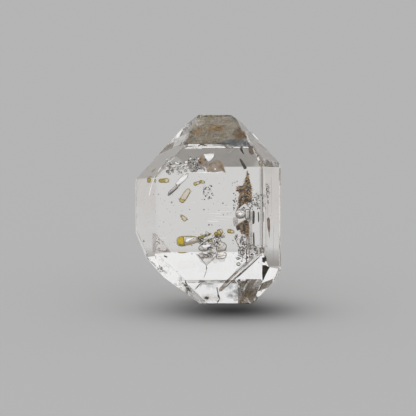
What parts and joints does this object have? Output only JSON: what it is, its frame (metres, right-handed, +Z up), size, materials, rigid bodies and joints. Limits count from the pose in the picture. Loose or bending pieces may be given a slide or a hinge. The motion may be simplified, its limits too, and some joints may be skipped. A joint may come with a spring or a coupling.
{
  "type": "herkimer diamond quartz crystal",
  "caption": "Clear, doubly terminated quartz crystal, flattened front to back, with bright flat faces, standing on a small flat spot.",
  "frame": {"origin": "on the surface it stands on, under the middle of the crystal's bounding box", "axes": "+Z up, along the crystal's length; -Y is the large front prism face; +X is to the right when looking at that face"},
  "size_m": [0.0262, 0.0144, 0.034],
  "materials": {
    "rock_crystal": "clear, colourless to faintly smoky, glassy natural faces"
  },
  "bodies": {
    "root": {"quartz_crystal": "rock_crystal"}
  },
  "joints": []
}
